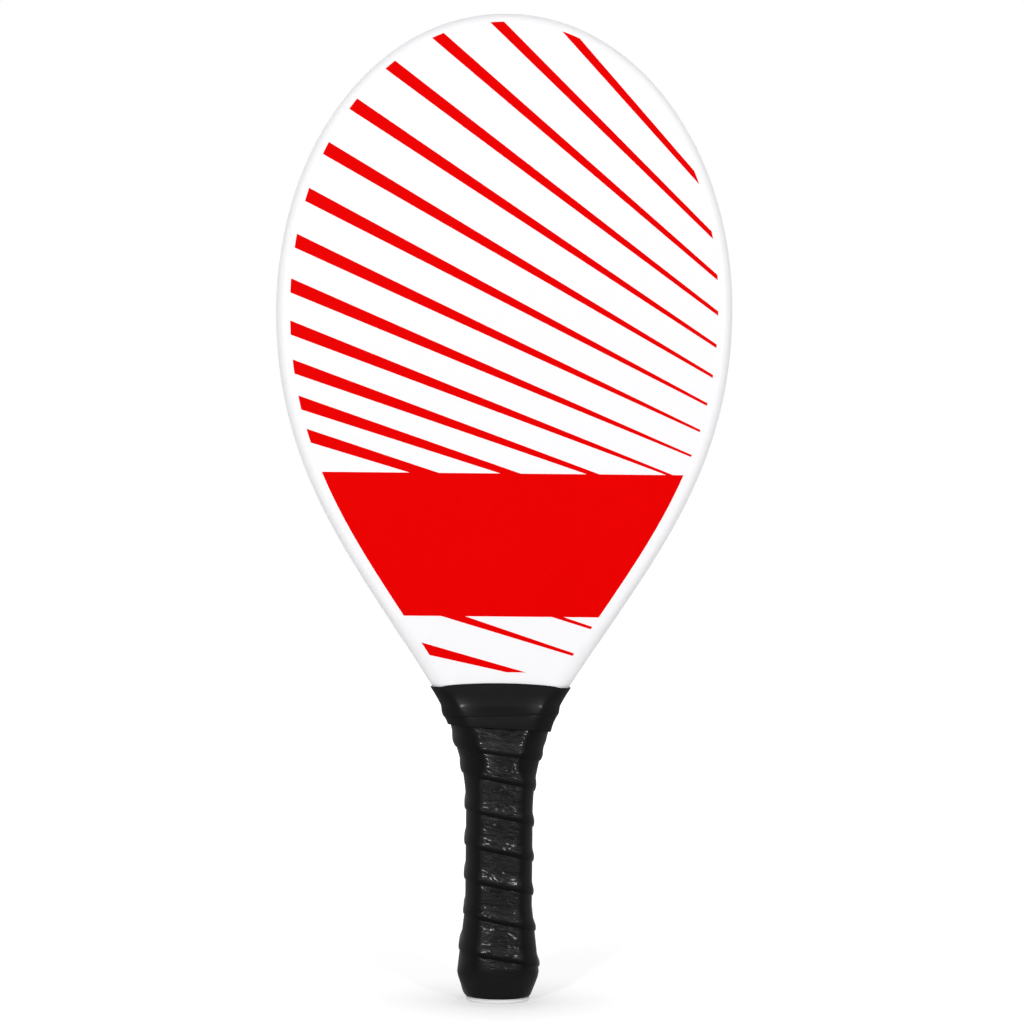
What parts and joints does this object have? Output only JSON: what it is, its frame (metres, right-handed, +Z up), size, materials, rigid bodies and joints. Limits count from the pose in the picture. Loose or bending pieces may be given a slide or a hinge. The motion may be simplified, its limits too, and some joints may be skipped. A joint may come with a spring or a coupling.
{
  "type": "frescobol paddle",
  "caption": "Beach tennis paddle: a white teardrop blade with a rounded edge and a red striped print, on a short handle wound with black tape.",
  "frame": {"origin": "centre of the butt's end face, which the paddle stands on", "axes": "+Z up along the handle from the butt to the tip of the blade, +X across the blade's width, -Y towards the front face"},
  "size_m": [0.2222, 0.0376, 0.48],
  "materials": {
    "white_paint": "gloss",
    "red_ink": "gloss",
    "core_foam": "matte",
    "handle_wood": "matte",
    "cap_plastic": "satin",
    "staple_steel": "satin",
    "cushion_foam": "matte",
    "grip_tape": "satin, crinkled",
    "finishing_tape": "matte"
  },
  "bodies": {
    "root": {"foam_core": "core_foam", "rim_band": "white_paint", "front_skin": "white_paint", "back_skin": "white_paint", "handle_spine": "handle_wood", "front_cheek": "handle_wood", "back_cheek": "handle_wood", "butt_cap": "cap_plastic", "front_cap_staple": "staple_steel", "back_cap_staple": "staple_steel", "cushion_sleeve": "cushion_foam", "overgrip_tape": "grip_tape", "finishing_tape": "finishing_tape", "front_panel": "red_ink", "back_panel": "red_ink", "front_stripe_01": "red_ink", "front_stripe_02": "red_ink", "front_stripe_03": "red_ink", "front_stripe_04": "red_ink", "front_stripe_05": "red_ink", "front_stripe_06": "red_ink", "front_stripe_07": "red_ink", "front_stripe_08": "red_ink", "front_stripe_09": "red_ink", "front_stripe_10": "red_ink", "front_stripe_11": "red_ink", "front_stripe_12": "red_ink", "front_stripe_13": "red_ink", "front_stripe_14": "red_ink", "front_stripe_15": "red_ink", "front_stripe_16": "red_ink", "back_stripe_01": "red_ink", "back_stripe_02": "red_ink", "back_stripe_03": "red_ink", "back_stripe_04": "red_ink", "back_stripe_05": "red_ink", "back_stripe_06": "red_ink", "back_stripe_07": "red_ink", "back_stripe_08": "red_ink", "back_stripe_09": "red_ink", "back_stripe_10": "red_ink", "back_stripe_11": "red_ink", "back_stripe_12": "red_ink", "back_stripe_13": "red_ink", "back_stripe_14": "red_ink", "back_stripe_15": "red_ink", "back_stripe_16": "red_ink"}
  },
  "joints": []
}
